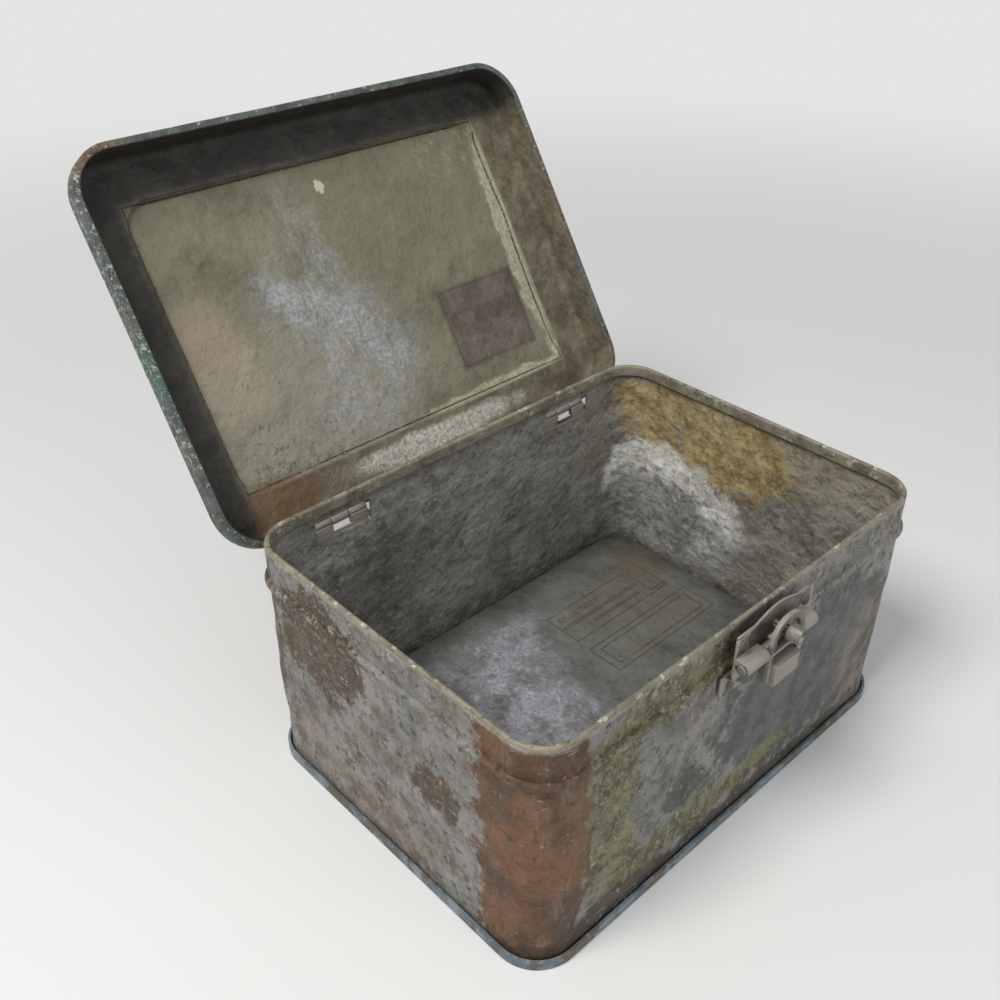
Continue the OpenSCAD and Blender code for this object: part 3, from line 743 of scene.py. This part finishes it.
# %% Clasp and hinge metal
def old_metal(name, seed, dull, clear, grime, metal):
    f = Finish(name)
    middle = f.grain(5, 7, 0.7, seed)
    fine = f.grain(1.1, 5, 0.74, seed + 1)
    brushed = f.grain(0.9, 3, 0.6, seed + 2, (0.12, 1.0, 1.0))
    colour = f.layer(f.between(middle, 0.42, 0.58), dull, clear)
    colour = f.stain(colour, f.between(fine, 0.53, 0.59), grime, 0.8)
    edges = f.add("ShaderNodeNewGeometry").outputs["Pointiness"]
    hollow = f.between(edges, 0.495, 0.47)
    colour = f.stain(colour, hollow, grime, 0.8)
    worn = f.between(f.plus(edges, fine, 0.03), 0.535, 0.56)
    colour = f.stain(colour, worn, paint(152, 148, 136), 0.8)
    height = f.plus(brushed, fine, 0.7)
    rough = f.plus(0.42, f.between(fine, 0.5, 0.7), 0.25)
    return f.end(colour, rough, height, 0.4, metal)

clasp_metal = old_metal("clasp_metal", 91, paint(52, 48, 41), paint(84, 80, 71),
                        paint(34, 31, 25), 0.3)
hinge_steel = old_metal("hinge_steel", 95, paint(54, 50, 42), paint(80, 76, 66),
                        paint(36, 32, 26), 0.25)

# %% [markdown]
# ## Dressing the frame
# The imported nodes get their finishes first. Most of them are replaced further down by a
# dented sheet or a softened copy, and the two wires and the base pan stay as they are.

# %% Dress the frame's own nodes
DRESS = {
    "base_pan": base_paint, "rim_wire": hinge_steel, "lid_rim_wire": hinge_steel,
    "inner_floor": floor_paint, "body_shell": body_outside, "lid_shell": lid_outside,
}
for name, part in nodes.items():
    fitting = clasp_metal if slots[name] == "clasp_metal" else hinge_steel
    part.data.materials.clear()
    part.data.materials.append(DRESS.get(name, fitting))
print("dressed:", len(nodes))

# %% [markdown]
# ## The sheets with their dents
# The walls and the lid are built again as closed sheets. The start is one plane whose four
# corners are rounded with a vertex bevel. Its border is then extruded ring after ring, and
# each new ring is laid on the next step of the wall's section. Regular cuts with bisect
# give small faces, and two Displace modifiers push them in and out, the same way on both
# sides of the sheet, as real dents do.

# %% Start with a border
CORNER_STEPS = 10

def start_ring(name, length, width, radius, z):
    """A plane with rounded corners, of which only the border is kept"""
    bpy.ops.object.select_all(action="DESELECT")
    bpy.ops.mesh.primitive_plane_add(size=1, location=(0, 0, z))
    piece = bpy.context.object
    piece.name = name
    piece.data.name = name
    piece.scale = (length, width, 1)
    bpy.ops.object.transform_apply(location=True, rotation=True, scale=True)
    bpy.ops.object.mode_set(mode="EDIT")
    bpy.ops.mesh.select_all(action="SELECT")
    bpy.ops.mesh.bevel(affect="VERTICES", offset=radius, segments=CORNER_STEPS, profile=0.5)
    bpy.ops.mesh.delete(type="ONLY_FACE")
    bpy.ops.mesh.select_all(action="SELECT")
    return piece

# %% Ring by ring
def corner_centre(side, ring):
    """Where the centre of a ring's rounded corner lies, on that side of both axes"""
    length, width, radius = ring[:3]
    return Vector((side.x * (length / 2 - radius), side.y * (width / 2 - radius)))

def next_ring(piece, old, new):
    """Extrudes the selected border and lays it on the new rounded rectangle"""
    bpy.ops.mesh.extrude_region_move()
    net = bmesh.from_edit_mesh(piece.data)
    for point in [v for v in net.verts if v.select]:
        side = Vector((math.copysign(1, point.co.x), math.copysign(1, point.co.y)))
        way = (point.co.xy - corner_centre(side, old)) / old[2]
        there = corner_centre(side, new) + way * new[2]
        point.co = (there.x, there.y, new[3])
    bmesh.update_edit_mesh(piece.data)

def grow(name, rings):
    """Makes a sheet from rings of (length, width, corner radius, height)"""
    piece = start_ring(name, *rings[0])
    for old, new in zip(rings, rings[1:]):
        next_ring(piece, old, new)
    return piece

# %% Cuts and faces
def cuts(axis, places):
    """Cuts the whole piece in hand with planes across one axis"""
    for place in places:
        bpy.ops.mesh.select_all(action="SELECT")
        middle = [0, 0, 0]
        middle[axis] = place
        normal = [0, 0, 0]
        normal[axis] = 1
        bpy.ops.mesh.bisect(plane_co=middle, plane_no=normal)

FACE = 0.0034  # about how wide a face may be, so that the sheet can bend

def along(low, high, step):
    count = max(1, round((high - low) / step))
    return [low + (high - low) * (i + 0.5) / count for i in range(count)]

def settle():
    """Turns all faces outwards and leaves edit mode"""
    bpy.ops.mesh.select_all(action="SELECT")
    bpy.ops.mesh.normals_make_consistent(inside=False)
    bpy.ops.object.mode_set(mode="OBJECT")

# %% [markdown]
# ## Dents
# Knocks and heavy stacking have pushed the thin sheet about. They could be sculpted one
# by one, but a Displace modifier with a soft coloured noise gives the same dents on each
# run, and a vertex group keeps them away from hinges, clasp, bead and folded edges.

# %% Dents
def dent(piece, name, size, depth, weights):
    """Pushes the sheet about with a soft coloured noise, by up to that depth"""
    clouds = bpy.data.textures.new(name, "CLOUDS")
    clouds.noise_scale = size * MM
    clouds.noise_depth = 2
    clouds.cloud_type = "COLOR"
    push = piece.modifiers.new(name, "DISPLACE")
    push.texture = clouds
    push.texture_coords = "LOCAL"
    push.direction = "RGB_TO_XYZ"
    push.mid_level = 0.5
    push.strength = depth * MM * 2
    push.vertex_group = weights
    bpy.context.view_layer.objects.active = piece
    bpy.ops.object.modifier_apply(modifier=name)

def weigh(piece, name, rule):
    group = piece.vertex_groups.new(name=name)
    for point in piece.data.vertices:
        group.add([point.index], rule(point.co), "REPLACE")

def ramp(reach, length):
    """0 up to nothing, 1 from that length on, and straight in between"""
    return min(1.0, max(0.0, reach / length))

def smooth(piece, degrees=32):
    bpy.ops.object.select_all(action="DESELECT")
    piece.select_set(True)
    bpy.context.view_layer.objects.active = piece
    bpy.ops.object.shade_smooth_by_angle(angle=math.radians(degrees))

# %% [markdown]
# ## Body wall
# The section goes up the outside, over the bead that stops the lid, round the folded hem
# and down the inside. The two ends are then bridged, which closes the sheet.

# %% Section of the body wall
LENGTH, WIDTH, RADIUS = 0.200, 0.145, 0.015
BEAD, RIM = 84.08, 98.5  # heights of the bead's middle and the hem's centre, in mm

def body_ring(u, z):
    """The body's outline, moved out by u mm, at height z mm"""
    return (LENGTH + 2 * u * MM, WIDTH + 2 * u * MM, RADIUS + u * MM, z * MM)

section = [(0, 0.8), (0, 82.5)]
for turn in range(-4, 5):
    angle = math.radians(turn * 20)
    section.append((-0.3 + 1.8 * math.cos(angle) * 0.98, BEAD + 1.72 * math.sin(angle)))
section = [(max(u, 0.0), z) for u, z in section]
section += [(0, 86.4), (0, 98.4)]
for turn in range(1, 8):
    angle = math.radians(turn * 22.5)
    section.append((-1 + math.cos(angle), RIM + math.sin(angle)))
section += [(-2, 98.4), (-2, 94.9), (-1.7, 94.5), (-0.8, 94.35), (-0.8, 0.8)]
print("wall section:", len(section), "steps")

# %% Body wall
wall = grow("body_wall", [body_ring(u, z) for u, z in section])
bpy.ops.mesh.select_mode(type="EDGE")
bpy.ops.mesh.select_all(action="DESELECT")
net = bmesh.from_edit_mesh(wall.data)
for edge in net.edges:
    edge.select = edge.is_boundary
bmesh.update_edit_mesh(wall.data)
bpy.ops.mesh.bridge_edge_loops()
cuts(0, along(-0.085, 0.085, FACE))
cuts(1, along(-0.0575, 0.0575, FACE))
cuts(2, along(0.0009, 0.082, FACE) + along(0.0866, 0.0942, 0.0026))
settle()
print("wall points:", len(wall.data.vertices))

# %% [markdown]
# ## Windows for the hinges
# On the real tin the hinge barrels reach through punched slots. The slots could be part
# of the rings, but a Boolean with a plain box cuts them anywhere and leaves sharp edges,
# as a punch does. It comes after the dents, so that the slots stay straight.

# %% Windows for the hinge barrels
HINGE_X, HALF_BARREL = 0.060, 0.0126

def window(piece, low, high):
    """Cuts a box-shaped hole with a Boolean modifier"""
    bpy.ops.object.select_all(action="DESELECT")
    middle = [(a + b) / 2 for a, b in zip(low, high)]
    bpy.ops.mesh.primitive_cube_add(size=1, location=middle)
    tool = bpy.context.object
    tool.scale = [b - a for a, b in zip(low, high)]
    bpy.ops.object.transform_apply(location=True, rotation=True, scale=True)
    cut = piece.modifiers.new("window", "BOOLEAN")
    cut.operation = "DIFFERENCE"
    cut.solver = "EXACT"
    cut.object = tool
    bpy.context.view_layer.objects.active = piece
    bpy.ops.object.modifier_apply(modifier="window")
    bpy.data.objects.remove(tool)

def barrel_windows(piece, *boxes):
    """Cuts the same windows at both hinges, each box from (y, z) to (y, z)"""
    for side in (-1, 1):
        for low, high in boxes:
            left, right = side * HINGE_X - HALF_BARREL, side * HINGE_X + HALF_BARREL
            window(piece, (left, *low), (right, *high))

# %% Dents of the wall
def wall_weight(co):
    """Full below the bead, nothing at the foot, and little at the neck and the clasp"""
    below_bead = ramp(0.083 - co.z, 0.02)
    foot = ramp(co.z - 0.003, 0.006)
    beside_clasp = ramp(abs(co.x) - 0.018, 0.012)
    if co.y > -0.06 or co.z < 0.062:
        beside_clasp = 1.0
    return 0.05 + 0.95 * below_bead * foot * beside_clasp

weigh(wall, "soft", wall_weight)
dent(wall, "broad", 38, 1.1, "soft")
dent(wall, "small", 10, 0.42, "soft")
barrel_windows(wall, ((0.068, 0.0822), (0.078, 0.0912)))
smooth(wall)
print("wall box:", [round(c, 4) for c in wall.dimensions])

# %% Wall materials by place
def outwards(x, y):
    """How far a point lies outside the body's outline"""
    dx = abs(x) - (LENGTH / 2 - RADIUS)
    dy = abs(y) - (WIDTH / 2 - RADIUS)
    if dx > 0 and dy > 0:
        return math.hypot(dx, dy) - RADIUS
    return max(dx, dy) - RADIUS

for finish in (body_outside, body_inside, rim_metal):
    wall.data.materials.append(finish)
for face in wall.data.polygons:
    x, y, z = face.center
    outer = Vector((x, y, 0)).dot(face.normal) > 0
    on_top = z > 0.0984 or (z > 0.0943 and not outer)
    face.material_index = 2 if on_top else (0 if outer else 1)
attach(wall, "box")
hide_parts("body_shell")
print("wall faces:", len(wall.data.polygons))

# %% [markdown]
# ## Lid sheet
# The lid is one sheet as well. Its rings start at the border of the raised panel's
# underside, run out to the shoulder and down inside the skirt, turn round the rolled band,
# and climb the outside to the panel's top. Two flat faces close it. It is made shut, as a
# maker would draw it, and turned open round the hinge line at the end.

# %% Lid rings
def shoulder(reach, turns):
    """Rings round the lid's rounded shoulder, at that reach from its centre"""
    made = []
    for turn in turns:
        angle = math.radians(turn)
        made.append(body_ring(-2.8 + reach * math.cos(angle), 97.5 + reach * math.sin(angle)))
    return made

# the recess under the panel, the ledge, and the inner side of the shoulder
lid_rings = [(0.1668, 0.1118, 0.0107, 0.1026), (0.1700, 0.1150, 0.0123, 0.1008),
             body_ring(-2.8, 100.8)] + shoulder(3.3, (67, 45, 22, 0))
# down the skirt, round the rolled band and up to the outer side of the shoulder
for u, z in ((0.5, 86.7), (0.65, 86.3), (1.0, 86.2), (2.9, 86.2), (3.25, 86.35), (3.4, 86.7),
             (3.4, 92.7), (3.25, 93.05), (2.9, 93.2), (1.7, 93.2), (1.35, 93.35), (1.2, 93.7),
             (1.2, 97.5)):
    lid_rings.append(body_ring(u, z))
lid_rings += shoulder(4, (22, 45, 67, 90))
# up the step to the top of the panel
lid_rings += [(0.1714, 0.1164, 0.0130, 0.1015), (0.1706, 0.1156, 0.0126, 0.1018),
              (0.1690, 0.1140, 0.0118, 0.1030), (0.1682, 0.1132, 0.0114, 0.1033)]
lid = grow("lid_sheet", lid_rings)
print("lid rings:", len(lid_rings))

# %% Close and cut the lid
bpy.ops.mesh.select_all(action="SELECT")
bpy.ops.mesh.fill_holes(sides=0)
cuts(0, along(-0.0955, 0.0955, FACE))
cuts(1, along(-0.068, 0.068, FACE))
settle()
print("lid points:", len(lid.data.vertices))

# %% Dents of the lid
def lid_weight(co):
    """Little on the rolled band and the shoulder, and full on the panel"""
    inner = -outwards(co.x, co.y)
    if co.z < 0.0935 and inner < -0.0009:
        return 0.12
    return 0.05 + 0.95 * ramp(inner - 0.004, 0.012)

weigh(lid, "soft", lid_weight)
dent(lid, "lid_broad", 42, 0.9, "soft")
dent(lid, "lid_small", 8, 0.26, "soft")
barrel_windows(lid, ((0.0737, 0.0850), (0.0775, 0.0942)), ((0.0722, 0.0850), (0.0740, 0.0896)))
print("lid box, shut:", [round(c, 4) for c in lid.dimensions])

# %% Lid materials by place, then open the lid
for finish in (lid_outside, lid_inside, lid_rim):
    lid.data.materials.append(finish)
for face in lid.data.polygons:
    x, y, z = face.center
    u = outwards(x, y)
    facing_in = Vector((x, y, 0)).dot(face.normal) < -0.02
    under = face.normal.z < -0.3
    if z < 0.0942 and u > 0.00085:
        face.material_index = 2
    elif (z < 0.0990 and u < 0.0009) or under or (facing_in and z < 0.1010):
        face.material_index = 1
    else:
        face.material_index = 0
swing = Matrix.Translation(HINGE) @ Matrix.Rotation(-OPEN, 4, "X") @ Matrix.Translation(-HINGE)
lid.data.transform(swing)
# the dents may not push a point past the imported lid's own box
low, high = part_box("lid_shell")
for point in lid.data.vertices:
    point.co = [min(max(c, a), b) for c, a, b in zip(point.co, low, high)]
smooth(lid)
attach(lid, "lid")
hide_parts("lid_shell")
print("lid faces:", len(lid.data.polygons))

# %% [markdown]
# ## Floor sheet
# The floor inside is a tray that sits upside down in the body, so its edge is rounded and
# its middle has sunk a little.

# %% Floor sheet
tray = grow("floor_sheet", [body_ring(u, z) for u, z in
                            ((-1.15, 0.85), (-1.15, 4.5), (-1.3, 4.85), (-1.7, 5.0), (-2.6, 5.0))])
bpy.ops.mesh.select_all(action="SELECT")
bpy.ops.mesh.fill_holes(sides=0)
cuts(0, along(-0.094, 0.094, 0.004))
cuts(1, along(-0.066, 0.066, 0.004))
settle()

def tray_weight(co):
    """Nothing on the tray's upright edge, and full in its middle"""
    return ramp(-outwards(co.x, co.y) - 0.003, 0.02) if co.z > 0.003 else 0.0

weigh(tray, "soft", tray_weight)
dent(tray, "floor_broad", 34, 0.5, "soft")
dent(tray, "floor_small", 8, 0.22, "soft")
smooth(tray)
tray.data.materials.append(floor_paint)
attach(tray, "box")
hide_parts("inner_floor")
print("floor faces:", len(tray.data.polygons))

# %% [markdown]
# ## Clasp and hinges with softened edges
# Stamped fittings have no knife edges. Each small metal node is copied, its loose
# triangles are merged, flat areas are joined to single faces, and a Bevel modifier rounds
# the edges, so that they catch the light.

# %% Softened copies of the fittings
def soften(name, width, finish):
    """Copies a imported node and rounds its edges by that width, in mm"""
    piece = nodes[name].copy()
    piece.data = nodes[name].data.copy()
    piece.name = name + "_worn"
    scene.collection.objects.link(piece)
    piece.parent = None
    for key in list(piece.keys()):
        del piece[key]
    bpy.ops.object.select_all(action="DESELECT")
    piece.select_set(True)
    bpy.context.view_layer.objects.active = piece
    bpy.ops.object.mode_set(mode="EDIT")
    bpy.ops.mesh.select_all(action="SELECT")
    bpy.ops.mesh.remove_doubles(threshold=0.000005)
    bpy.ops.mesh.dissolve_limited(angle_limit=math.radians(1))
    bpy.ops.object.mode_set(mode="OBJECT")
    edge = piece.modifiers.new("edge", "BEVEL")
    edge.width = width * MM
    edge.segments = 2
    edge.limit_method = "ANGLE"
    edge.angle_limit = math.radians(40)
    edge.use_clamp_overlap = True
    bpy.ops.object.modifier_apply(modifier="edge")
    piece.data.materials.clear()
    piece.data.materials.append(finish)
    smooth(piece, 50)
    bodies = frame["record"]["behaviour"]["bodies"]
    body = next(b for b, members in bodies.items() if name in members)
    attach(piece, body)
    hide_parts(name)
    return piece

# %% Soften the clasp and the hinges
CLASP = ("clasp_bracket", "shield_plate", "lower_plate", "rocker", "thumb_block", "block_cap",
         "bolt_knob", "clasp_pin", "drive_pin", "clasp_rivets")
HINGES = ("hinge_leaf_left", "hinge_leaf_right", "lid_leaf_left", "lid_leaf_right",
          "hinge_rivets", "lid_rivets", "hinge_pin_left", "hinge_pin_right")
for names, width, finish in ((CLASP, 0.22, clasp_metal), (HINGES, 0.18, hinge_steel)):
    for name in names:
        done = soften(name, width, finish)
        print(done.name, "faces:", len(done.data.polygons))
